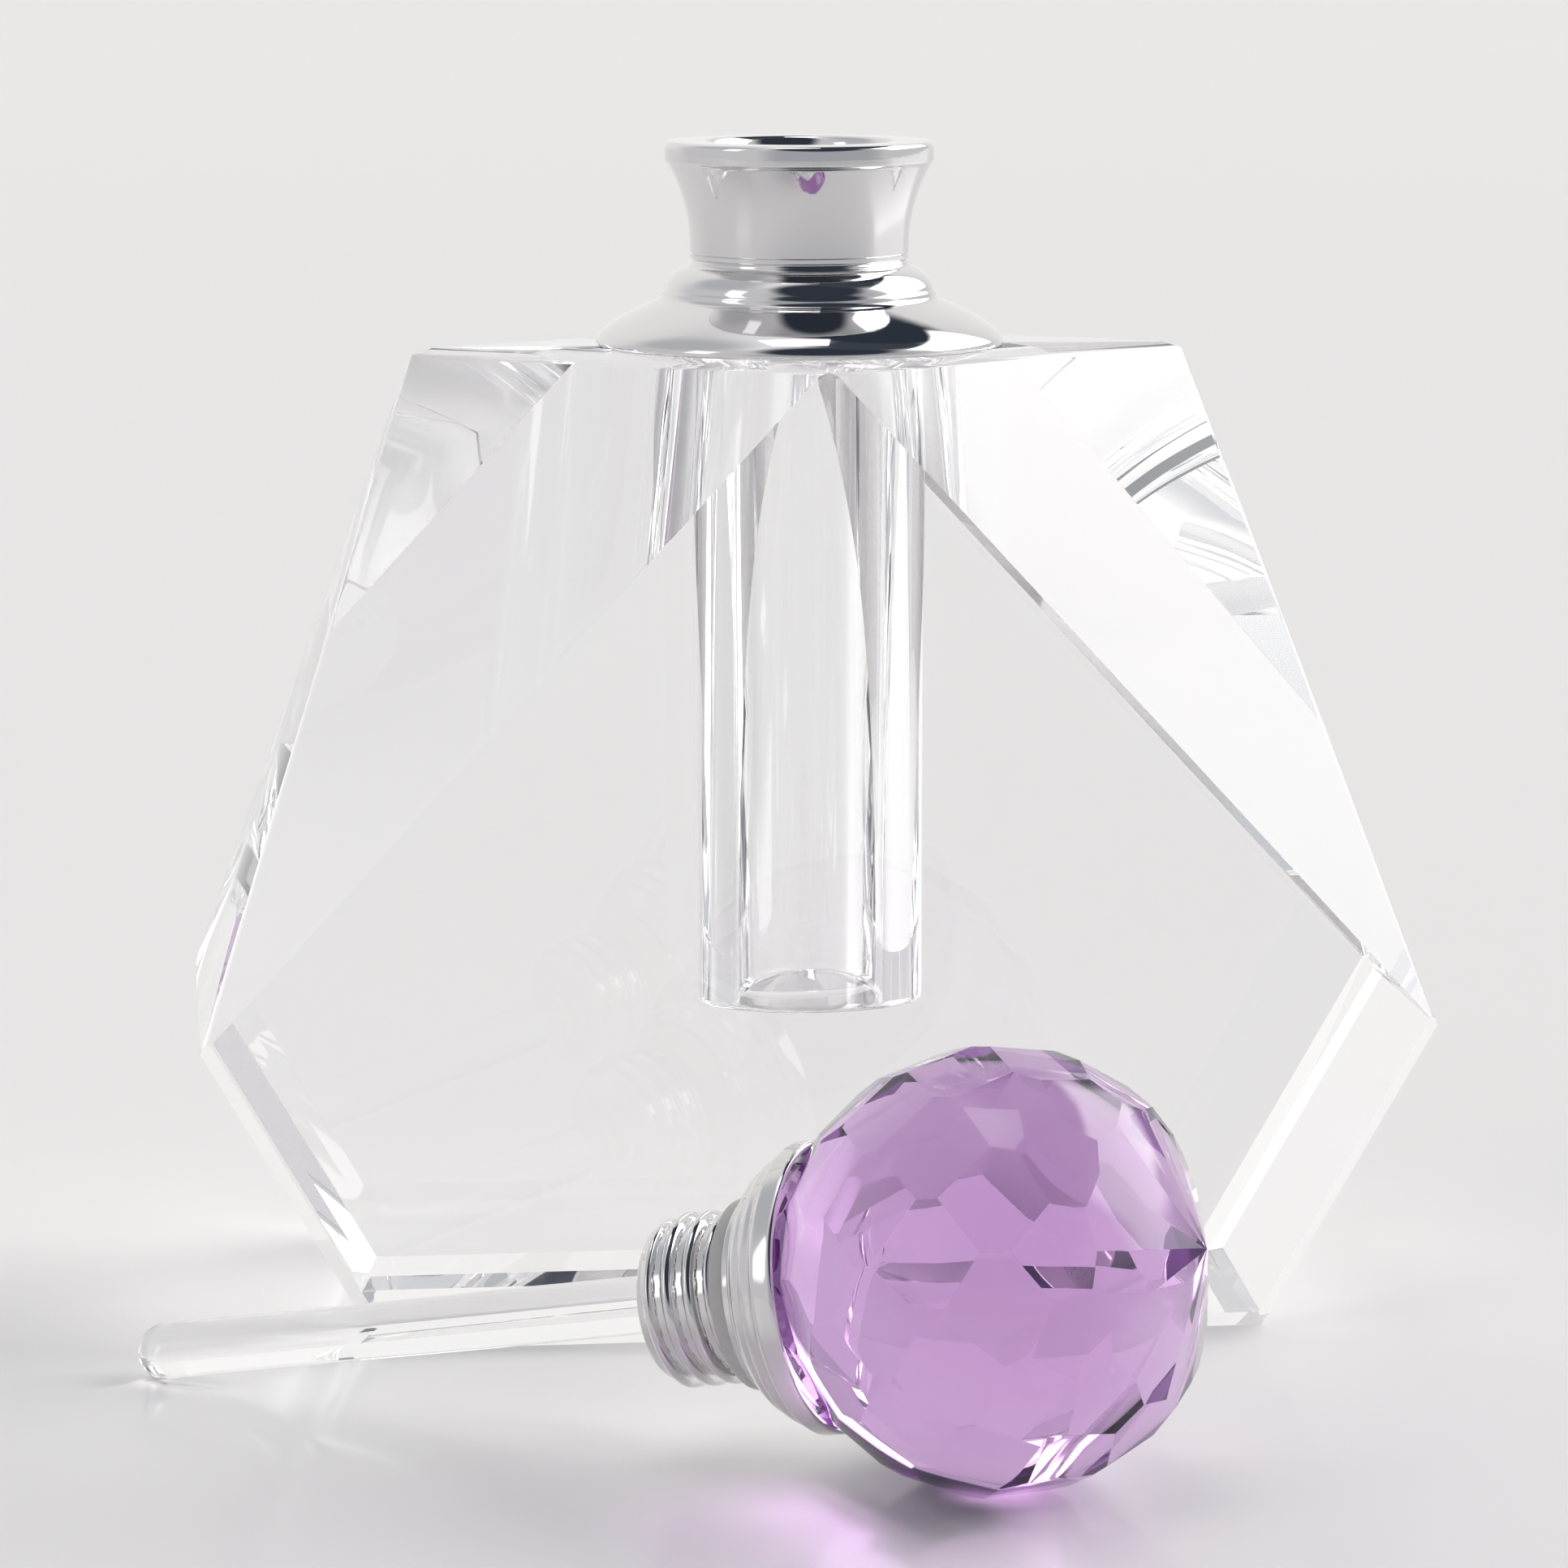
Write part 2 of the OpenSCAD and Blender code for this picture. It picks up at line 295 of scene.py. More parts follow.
@dataclass(frozen=True)
class StudioPaper(Finish):
    """Smooth pale laminate under soft light: matt, with a thin satin coat that holds a dim reflection."""

    # near and far are painted shade and painted light: across a slanted line round the bottle the colour goes
    # from near in front to far behind, standing in for the bottle's soft shadow and the light's fall-off
    near: str = "#F5F3F2"
    far: str = "#F7F5F3"
    shade_fade_from: float = -0.03
    shade_fade_to: float = 0.05
    turn_deg: float = -9.0
    grain_mm: float = 0.8
    grain_depth_mm: float = 0.02

    def surface(self, tree: NodeTree, where: Node, out: Node) -> Node:
        """Adds a floor painted a little lighter behind the bottle and darker in front: painted shade for the
        bottle's soft shadow and the fall-off of the light. See Finish.
        """
        place = where.outputs["Object"]
        slanted = add_node(tree, "Mapping", {
            "Vector": place, "Rotation": (0, 0, math.radians(self.turn_deg))})
        parts = add_node(tree, "SeparateXYZ", {"Vector": slanted.outputs["Vector"]})
        back = spread(tree, parts.outputs["Y"], self.shade_fade_from, self.shade_fade_to,
                      interpolation_type="SMOOTHSTEP")
        grain = bumped(tree, noise(tree, place, self.grain_mm, 4.0), 0.05, self.grain_depth_mm)
        return add_node(tree, "BsdfPrincipled", {
            "Base Color": two_tone(tree, back, self.near, self.far), "Roughness": 0.42,
            "Normal": grain, "Coat Weight": 0.35, "Coat Roughness": 0.12})


# ---------------- mesh building


@dataclass
class Skin:
    """Points in millimetres and the faces that join them.

    Attributes:
        points: One row per point.
        corners: Point numbers, face after face, anticlockwise from outside.
        sizes: How many corners each face has.
        smooth: Whether each face is shaded smooth.
        uv: One row per corner, or None.
    """

    points: np.ndarray
    corners: np.ndarray
    sizes: np.ndarray
    smooth: np.ndarray
    uv: Optional[np.ndarray] = None

    def stand(self, name: str, material: Material, sharp_deg: float = 40.0) -> Object:
        """Writes the mesh, in metres, and puts it in the scene.

        Args:
            name: The object's name.
            material: Its material.
            sharp_deg: Smooth faces that meet at more than this angle keep a crisp edge.

        Returns:
            The new object.
        """
        mesh = bpy.data.meshes.new(name)
        mesh.vertices.add(len(self.points))
        mesh.vertices.foreach_set("co", np.ascontiguousarray(self.points * MM, dtype=np.float32).ravel())
        mesh.loops.add(len(self.corners))
        mesh.loops.foreach_set("vertex_index", self.corners.astype(np.int32))
        mesh.polygons.add(len(self.sizes))
        mesh.polygons.foreach_set("loop_start", np.r_[0, np.cumsum(self.sizes)[:-1]].astype(np.int32))
        mesh.update(calc_edges=True)
        if self.uv is not None:
            layer = mesh.uv_layers.new(name="turned")
            layer.data.foreach_set("uv", self.uv.astype(np.float32).ravel())
        mesh.polygons.foreach_set("use_smooth", self.smooth.astype(bool))
        mesh.set_sharp_from_angle(angle=math.radians(sharp_deg))
        mesh.materials.append(material)
        piece = bpy.data.objects.new(name, mesh)
        bpy.context.scene.collection.objects.link(piece)
        return piece

    def build(self, name: str, material: Material, body: Body, slot: Slot, node: str,
              sharp_deg: float = 40.0) -> Object:
        """Makes a piece of the object and hands it to the frame.

        Args:
            name: The piece's name.
            material: Its material.
            body: The body it rides on.
            slot: The record's slot that matches the piece; not used.
            node: The CAD node that it stands for.
            sharp_deg: As in stand.

        Returns:
            The new object.
        """
        piece = self.stand(name, material, sharp_deg)
        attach(piece, body.value)
        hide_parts(node)
        LOG.info("%s: %d faces, stands for %s", name, len(self.sizes), node)
        return piece


def arc(start: Sequence[float], pull: Sequence[float], end: Sequence[float], count: int = 12) -> np.ndarray:
    """Samples the parabola from start to end, both of whose end tangents aim at pull."""
    t = np.linspace(0, 1, count)[:, None]
    return (1 - t) ** 2 * np.array(start) + 2 * t * (1 - t) * np.array(pull) + t ** 2 * np.array(end)


def eased(outline: np.ndarray, radius: float, closed: bool = False, count: int = 4) -> np.ndarray:
    """Rounds every inner corner of an outline.

    Each corner is replaced by the parabola from a point one radius before it to a point one radius
    after it, or 45% of the shorter neighbouring side where that is less.

    Args:
        outline: The corners, one per row.
        radius: How far from the corner the rounding starts.
        closed: Whether the outline runs back to its first point.
        count: Points on each rounding.

    Returns:
        The eased outline.
    """
    before = np.roll(outline, 1, axis=0) - outline
    after = np.roll(outline, -1, axis=0) - outline
    len_b = np.linalg.norm(before, axis=1, keepdims=True)
    len_a = np.linalg.norm(after, axis=1, keepdims=True)
    reach = np.minimum(radius, 0.45 * np.minimum(len_b, len_a))
    a = outline + before / len_b * reach
    b = outline + after / len_a * reach
    t = np.linspace(0, 1, count)[None, :, None]
    rounded = (1 - t) ** 2 * a[:, None] + 2 * t * (1 - t) * outline[:, None] + t ** 2 * b[:, None]
    if closed:
        return rounded.reshape(-1, outline.shape[1])
    return np.vstack([outline[:1], rounded[1:-1].reshape(-1, outline.shape[1]), outline[-1:]])


def turned(outline: np.ndarray, segments: int = 144, closed: bool = False,
           relief: Optional[Callable[[np.ndarray, np.ndarray, np.ndarray], np.ndarray]] = None) -> Skin:
    """Turns an outline about the Z axis.

    Point (i, j) stands at radius r(i) + relief(i, j) and height z(i), at the angle j of a full turn
    divided into equal steps. The outline runs anticlockwise with radius to the right and height up,
    so that faces look outwards. An open outline starts and ends on the axis.

    Args:
        outline: Radius and height, one pair per row.
        segments: Steps in a full turn.
        closed: Whether the outline is a ring that never touches the axis.
        relief: Gives what to add to the radius, from arrays of radius, height and angle.

    Returns:
        The skin, with a UV map of turn fraction and length along the outline in millimetres.
    """
    r, z = outline[:, :1], outline[:, 1:]
    angle = np.arange(segments)[None] * (2 * math.pi / segments)
    radius = r + (relief(r, z, angle) if relief else 0 * angle)
    grid = np.stack([radius * np.cos(angle), radius * np.sin(angle), z + 0 * angle], axis=-1)
    rows = len(outline)
    number = np.arange(rows * segments).reshape(rows, segments)
    step = np.linalg.norm(np.diff(outline, axis=0, append=outline[:1]), axis=1)
    length = np.r_[0, np.cumsum(step)]
    i = np.arange(rows if closed else rows - 1)[:, None]
    j = np.arange(segments)[None]
    right = (j + 1) % segments
    above = (i + 1) % rows
    quads = np.stack([number[i, j], number[i, right], number[above, right], number[above, j]], -1)
    u0, u1 = j / segments + 0 * i, (j + 1) / segments + 0 * i
    v0, v1 = length[i] + 0 * j, length[i + 1] + 0 * j
    uv = np.stack([np.stack(pair, -1) for pair in ((u0, v0), (u1, v0), (u1, v1), (u0, v1))], -2)
    points = grid.reshape(-1, 3)
    quads, uv = quads.reshape(-1, 4), uv.reshape(-1, 4, 2)
    sizes = np.full(len(quads), 4)
    corners, coords = quads.ravel(), uv.reshape(-1, 2)
    if not closed:
        # the first and last rows collapse onto the axis: their quads become triangles round one pole
        low, high = number[0, 0], number[-1, 0]
        points[number[0]] = points[low]
        points[number[-1]] = points[high]
        first, last = quads[:segments], quads[-segments:]
        bottom = np.stack([np.full(segments, low), first[:, 2], first[:, 3]], -1)
        top = np.stack([last[:, 0], last[:, 1], np.full(segments, high)], -1)
        middle = quads[segments:-segments]
        corners = np.concatenate([bottom.ravel(), middle.ravel(), top.ravel()])
        sizes = np.r_[np.full(segments, 3), np.full(len(middle), 4), np.full(segments, 3)]
        coords = np.concatenate([
            uv[:segments][:, [0, 2, 3]].reshape(-1, 2), uv[segments:-segments].reshape(-1, 2),
            uv[-segments:][:, [0, 1, 2]].reshape(-1, 2)])
        used, corners = np.unique(corners, return_inverse=True)
        points = points[used]
    return Skin(points, corners, sizes, np.ones(len(sizes), bool), coords)


def cut_corners(normals: np.ndarray, dists: np.ndarray) -> np.ndarray:
    """Finds the corners of the solid that lies behind every one of a set of planes.

    Every three planes that aren't near parallel meet in one point, which solves the three plane
    equations together. A point is a corner if no plane of the set cuts it off.

    Args:
        normals: Outward unit normals, one per row.
        dists: Each plane's distance from the origin.

    Returns:
        The corners, one per row, each once.
    """
    triples = np.array(list(itertools.combinations(range(len(dists)), 3)))
    matrices = normals[triples]
    good = np.abs(np.linalg.det(matrices)) > 1e-5
    meets = np.linalg.solve(matrices[good], dists[triples[good]][..., None])[..., 0]
    inside = np.all(meets @ normals.T <= dists + 1e-6, axis=1)
    return np.unique(np.round(meets[inside], 6), axis=0)


def face_loop(points: np.ndarray, normal: np.ndarray, dist: float) -> np.ndarray:
    """Orders the points that lie on a plane anticlockwise round their centre, seen from outside.

    Args:
        points: All the points.
        normal: The plane's outward unit normal.
        dist: Its distance from the origin.

    Returns:
        The numbers of the points on the plane, in order.
    """
    on = np.flatnonzero(np.abs(points @ normal - dist) < 2e-5)
    spokes = points[on] - points[on].mean(axis=0)
    side = np.cross(normal, [0.31, 0.17, 0.93])  # any direction that no facet faces
    side /= np.linalg.norm(side)
    return on[np.argsort(np.arctan2(spokes @ np.cross(normal, side), spokes @ side))]


def facet_skin(normals: np.ndarray, dists: np.ndarray) -> Skin:
    """Cuts a solid from its planes and lists one flat face for each.

    Args:
        normals: Outward unit normals.
        dists: Distances from the origin.

    Returns:
        The flat-faced skin.
    """
    points = cut_corners(normals, dists)
    loops = [loop for loop in (face_loop(points, n, d) for n, d in zip(normals, dists)) if len(loop) > 2]
    sizes = np.array([len(loop) for loop in loops])
    return Skin(points, np.concatenate(loops), sizes, np.zeros(len(sizes), bool))


def grind_edges(piece: Object, width_mm: float, above_deg: float) -> None:
    """Breaks a cut piece's sharp edges with a hair-fine flat, as the last polish does.

    Args:
        piece: The piece.
        width_mm: Width of the flat.
        above_deg: Only edges that turn by more than this are broken.
    """
    bevel = piece.modifiers.new("broken_edges", "BEVEL")
    bevel.width = width_mm * MM
    bevel.segments = 1
    bevel.limit_method = "ANGLE"
    bevel.angle_limit = math.radians(above_deg)


# ---------------- the bottle


def unit(v: np.ndarray) -> np.ndarray:
    """Scales a vector to length one."""
    return np.asarray(v, float) / np.linalg.norm(v)


@dataclass
class Flacon:
    """The solid clear body with its drilled well, and the glue film on top of it."""

    body_w: float = 90.0
    top_w: float = 57.0
    base_w: float = 64.5
    body_t: float = 36.4
    body_h: float = 71.0
    corner_h: float = 22.2
    top_bevel: float = 0.75
    low_bevel: float = 1.05
    base_bevel: float = 1.3125
    side_bevel: float = 0.35
    well_r: float = 8.5
    well_floor: float = 23.0
    well_ease: float = 0.6
    glue_r: float = 12.0
    glue_t: float = 0.1

    def plane(self, *through: Sequence[float]) -> tuple[np.ndarray, float]:
        """Finds the plane through three points that faces away from the body's middle.

        Args:
            *through: The three points.

        Returns:
            The outward unit normal and the distance from the origin.
        """
        a, b, c = np.array(through, float)
        n = unit(np.cross(b - a, c - a))
        n = n if n @ (a - np.array([0, 0, self.body_h / 2])) > 0 else -n
        return n, float(n @ a)

    def bevel(self, p: tuple, q: tuple, on_edge: Sequence[float], width: float) -> tuple[np.ndarray, float]:
        """Finds the plane that cuts back the edge between two planes by the same width on both.

        Args:
            p: The first plane.
            q: The second plane.
            on_edge: A point on their edge.
            width: How far the cut reaches into each.

        Returns:
            The outward unit normal and the distance from the origin.
        """
        along = unit(np.cross(p[0], q[0]))
        inward = np.cross(along, p[0])
        inward = inward if inward @ q[0] < 0 else -inward
        n = unit(p[0] + q[0])
        return n, float(n @ (np.array(on_edge, float) + width * inward))

    def planes(self) -> tuple[np.ndarray, np.ndarray]:
        """Lists every ground plane of the body: the large facets and their polished bevels.

        Returns:
            Normals and distances, with the top plane first.
        """
        h, t, z1 = self.body_h, self.body_t / 2, self.corner_h
        w0, w1, w2 = self.top_w / 2, self.body_w / 2, self.base_w / 2
        top, base = (np.array([0, 0, 1.0]), h), (np.array([0, 0, -1.0]), 0.0)
        found = [top, base]
        for sy in (-1, 1):
            face = (np.array([0.0, sy, 0]), t)
            found += [face, self.bevel(face, base, (0, sy * t, 0), self.base_bevel)]
            for sx in (-1, 1):
                slope = self.plane((sx * w0, 0, h), (0, sy * t, h), (sx * w1, sy * t, z1))
                side = self.plane((sx * w0, 0, h), (sx * w1, -t, z1), (sx * w1, t, z1))
                lower = self.plane((sx * w1, -t, z1), (sx * w1, t, z1), (sx * w2, t, 0))
                found += [slope, self.bevel(top, slope, (0, sy * t, h), self.top_bevel),
                          self.bevel(side, slope, (sx * w0, 0, h), self.side_bevel),
                          self.bevel(face, lower, (sx * w2, sy * t, 0), self.low_bevel)]
                found += [side, lower] if sy == 1 else []
        return np.array([p[0] for p in found]), np.array([p[1] for p in found])

    def body_skin(self) -> Skin:
        """Cuts the body and joins the well to its top face.

        The top face is a strip between two rings at the same angles: the well's mouth, and the edge
        of the top polygon, whose distance at an angle is the least of distance over cosine over its
        sides. The well is rows of the mouth's ring going down, then round the eased corner of its
        floor and in to the centre.

        Returns:
            The closed skin.
        """
        normals, dists = self.planes()
        points = cut_corners(normals, dists)
        rim = points[np.abs(points[:, 2] - self.body_h) < 1e-5][:, :2]
        rim = rim[np.argsort(np.arctan2(rim[:, 1], rim[:, 0]))]
        edge = np.roll(rim, -1, axis=0) - rim
        out = np.stack([edge[:, 1], -edge[:, 0]], -1) / np.linalg.norm(edge, axis=1, keepdims=True)
        # every 2.5 degrees, set off a little from the rim's own corners
        even = np.arange(-72, 72) * math.pi / 72 + 0.005
        angle = np.unique(np.round(np.r_[np.arctan2(rim[:, 1], rim[:, 0]), even], 9))
        ray = np.stack([np.cos(angle), np.sin(angle)], -1)
        facing = ray @ out.T
        away = np.sum(out * rim, axis=1) / np.maximum(facing, 1e-6)
        reach = np.where(facing > 1e-6, away, np.inf).min(axis=1)
        outer = np.c_[ray * reach[:, None], np.full(len(angle), self.body_h)]
        near = np.linalg.norm(outer[:, None] - points[None], axis=2)
        extra = outer[near.min(axis=1) > 1e-4]
        points = np.vstack([points, extra])
        match = np.linalg.norm(outer[:, None] - points[None], axis=2).argmin(axis=1)

        loops = [face_loop(points, n, d) for n, d in zip(normals[1:], dists[1:])]
        loops = [loop for loop in loops if len(loop) > 2]
        e, f, r = self.well_ease, self.well_floor, self.well_r
        floor = arc((r, f + e), (r, f), (r - e, f), 6)
        wall = np.vstack([[[r, self.body_h], [r, self.body_h - 0.05], [r, self.body_h - 10], [r, f + e + 10],
                           [r, f + e + 0.05]], floor, [[r - e - 0.05, f], [r / 2, f]]])
        rings = np.stack([wall[:, :1] * ray[:, 0], wall[:, :1] * ray[:, 1], wall[:, 1:] + 0 * angle], -1)
        count, around = rings.shape[:2]
        base = len(points)
        number = base + np.arange(count * around).reshape(count, around)
        centre = base + count * around
        j = np.arange(around)
        k = (j + 1) % around
        strip = np.stack([number[0, j], match[j], match[k], number[0, k]], -1)
        i = np.arange(count - 1)[:, None]
        tube = np.stack([number[i, j], number[i, k], number[i + 1, k], number[i + 1, j]], -1).reshape(-1, 4)
        fan = np.stack([number[-1, j], number[-1, k], np.full(around, centre)], -1)
        points = np.vstack([points, rings.reshape(-1, 3), [[0, 0, f]]])
        sizes = np.r_[[len(loop) for loop in loops], np.full(len(strip) + len(tube), 4), np.full(len(fan), 3)]
        corners = np.concatenate([*loops, strip.ravel(), tube.ravel(), fan.ravel()])
        smooth = np.r_[np.zeros(len(loops) + len(strip), bool), np.ones(len(tube) + len(fan), bool)]
        return Skin(points, corners, sizes, smooth)

    def glue_skin(self) -> Skin:
        """Makes the film between body and collar: a flat ring with a gently uneven outer edge.

        Returns:
            The film, clear of both faces by a hundredth of a millimetre.
        """
        low, high = self.body_h + 0.01, self.body_h + self.glue_t - 0.01
        ring = np.array([[self.well_r + 0.05, low], [self.glue_r - 0.35, low],
                         [self.glue_r - 0.35, high], [self.well_r + 0.05, high]])

        def creep(r: np.ndarray, z: np.ndarray, angle: np.ndarray) -> np.ndarray:
            """Adds slow waves to the outer edge only."""
            return np.where(r > 10, 0.14 * np.sin(5 * angle + 0.7) + 0.08 * np.sin(11 * angle), 0.0)

        return turned(ring, closed=True, relief=creep)

    def build(self, crystal: Material, glue: Material) -> None:
        """Builds the crystal body and its glue film."""
        self.body_skin().build("crystal_body", crystal, Body.BOTTLE, Slot.CLEAR_CRYSTAL, "glass_body")
        self.glue_skin().build("collar_glue_film", glue, Body.BOTTLE, Slot.GLUE, "collar_adhesive")


@dataclass
class NeckCollar:
    """The turned collar: flange, bead, waisted neck, rolled lip, and the thread in its bore."""

    seat: float = 71.1
    flange_r: float = 15.05
    neck_r: float = 8.05
    lip_r: float = 9.9
    height: float = 14.9
    bore_r: float = 6.1
    thread_depth: float = 0.35
    pitch: float = 1.6
    thread_low: float = 3.0
    thread_gap: float = 1.5
    thread_fade: float = 0.8
    spigot_r: float = 8.4
    spigot_h: float = 1.6

    def outline(self) -> np.ndarray:
        """Draws the section as a ring: up the outside, over the lip and down the bore.

        Returns:
            Radius and height above the glue film.
        """
        swell = np.linspace(0, 1, 24)[:, None]
        flare = np.hstack([self.neck_r + (self.lip_r - 0.14 - self.neck_r) * swell ** 2.2,
                           6.95 + 6.4 * swell])
        outside = np.vstack([
            [[self.spigot_r, -self.spigot_h], [self.spigot_r, -0.02], [self.flange_r - 0.2, 0.0]],
            arc((self.flange_r - 0.2, 0.0), (self.flange_r, 0.05), (self.flange_r, 0.3), 5)[1:],
            arc((self.flange_r, 0.3), (self.flange_r - 0.15, 1.45), (10.45, 3.3), 20)[1:],
            arc((10.45, 3.3), (10.2, 3.42), (10.12, 3.68), 6)[1:],
            arc((10.12, 3.68), (10.12, 3.9), (10.0, 4.05), 5)[1:],
            arc((10.0, 4.05), (9.75, 5.2), (8.45, 5.7), 16)[1:],
            arc((8.45, 5.7), (8.12, 5.8), (8.08, 6.05), 6)[1:],
            [[self.neck_r - 0.02, 6.2], [self.neck_r - 0.12, 6.28], [self.neck_r, 6.36],
             [self.neck_r, 6.62], [self.neck_r - 0.08, 6.68], [self.neck_r, 6.74]],
            flare,
            arc(flare[-1], (self.lip_r + 0.02, 13.4), (self.lip_r, 13.62), 6)[1:],
            arc((self.lip_r, self.height - 0.45), (self.lip_r, self.height),
                (self.lip_r - 0.5, self.height), 8),
            arc((self.bore_r + 1.05, self.height), (self.bore_r + 0.75, self.height),
                (self.bore_r + 0.62, self.height - 0.25), 6),
            arc((self.bore_r + 0.62, self.height - 0.25), (self.bore_r + 0.35, self.height - 0.75),
                (self.bore_r + 0.3, self.height - 1.2), 6)[1:]])
        bore = np.linspace(self.height - 1.3, -self.spigot_h, 110)[:, None]
        return np.vstack([outside, np.hstack([0 * bore + self.bore_r + 0.3, bore])])

    def build(self, chrome: Material) -> None:
        """Builds the collar.

        Args:
            chrome: Its finish.
        """

        def thread(r: np.ndarray, z: np.ndarray, angle: np.ndarray) -> np.ndarray:
            """Raises a right-hand ridge: a smooth wave of height less a turn's share of the pitch."""
            turn = (z / self.pitch - angle / (2 * math.pi)) % 1.0
            ridge = np.clip(1.6 * np.cos(2 * math.pi * (turn - 0.5)), 0, 1)
            fade = (np.clip((self.height - self.thread_gap - z) / self.thread_fade, 0, 1)
                    * np.clip((z - self.thread_low) / self.thread_fade, 0, 1))
            return np.where(r < self.bore_r + 0.31, -self.thread_depth * ridge * fade, 0.0)

        skin = turned(self.outline(), segments=160, closed=True, relief=thread)
        skin.points[:, 2] += self.seat
        skin.build("chromed_collar", chrome, Body.BOTTLE, Slot.CHROME, "neck_collar", sharp_deg=50)


# ---------------- the stopper


@dataclass
class Lying:
    """Where the stopper lies. Its own frame has the ball's centre at 0 and the pole along +Z."""

    centre: np.ndarray
    pole: np.ndarray

    @classmethod
    def from_frame(cls) -> "Lying":
        """Reads the ball's centre and the pole, in millimetres, from the joint that turns them."""
        turn = next(j for j in frame["joints"] if j["name"] == "stopper_turn")
        return cls(np.array(turn["pos_m"]) / MM, unit(turn["axis"]))

    def place(self, skin: Skin) -> Skin:
        """Moves a skin from the stopper's own frame to where it lies.

        Args:
            skin: The skin to move, changed in place.

        Returns:
            The same skin.
        """
        down = unit(np.array([0, 0, -1.0]) + self.pole[2] * self.pole)
        axes = np.stack([down, np.cross(self.pole, down), self.pole])
        skin.points = self.centre + skin.points @ axes
        return skin


@dataclass
class Stopper:
    """Sizes that the stopper's pieces share. Depths run down the pole from the ball's centre."""

    rod_r: float = 2.0
    reach: float = 64.6
    seat: float = 12.7
    plug_end: float = 24.3
    bush_r: float = 2.6


@dataclass
class CrystalBall(Stopper):
    """The faceted ball: a star of twelve round the pole, six staggered rings of facets, and a flat seat."""

    around: int = 12
    rings: int = 6
    star_deg: float = 22.0
    star_r: float = 13.8
    facet_r: float = 14.52
    ring_step: float = 17.5
    lying_ring: int = 3
    hand_deg: float = 0.9
    hand_mm: float = 0.05

    def planes(self) -> tuple[np.ndarray, np.ndarray]:
        """Lists the facet planes.

        A facet's normal leans from the pole by its ring's angle and points round the ball by its
        number times a twelfth of a turn, plus half of that in every other ring. The ring that the
        ball lies on is square to the table. Every other ring is ground by hand, so its angles and
        depths stray a little either way.

        Returns:
            Normals and distances from the ball's centre.
        """
        tilt = math.degrees(math.asin((self.facet_r - self.rod_r) / self.reach))
        lean = np.r_[self.star_deg, 90 + tilt + (np.arange(self.rings) - self.lying_ring) * self.ring_step]
        half = np.r_[0.0, (np.arange(self.rings) + 1) % 2]
        stray = np.random.default_rng(11).uniform(-1, 1, (3, self.rings + 1, self.around))
        stray[:, self.lying_ring + 1] = 0
        stray[:, 0] *= 0.3
        a = np.radians(lean[:, None] + self.hand_deg * stray[0])
        b = (2 * math.pi / self.around * (np.arange(self.around)[None] + half[:, None] / 2)
             + np.radians(self.hand_deg * stray[1]))
        n = np.stack([np.sin(a) * np.cos(b), np.sin(a) * np.sin(b), np.cos(a)], -1).reshape(-1, 3)
        depth = np.r_[self.star_r, np.full(self.rings, self.facet_r)][:, None]
        depth = depth - self.hand_mm * np.abs(stray[2])
        return np.vstack([n, [[0, 0, -1]]]), np.r_[depth.ravel(), self.seat]

    def build(self, crystal: Material, lying: Lying) -> None:
        """Builds the ball where the stopper lies."""
        skin = lying.place(facet_skin(*self.planes()))
        ball = skin.build("crystal_ball", crystal, Body.STOPPER, Slot.LILAC_CRYSTAL, "stopper_ball")
        grind_edges(ball, 0.15, 4)


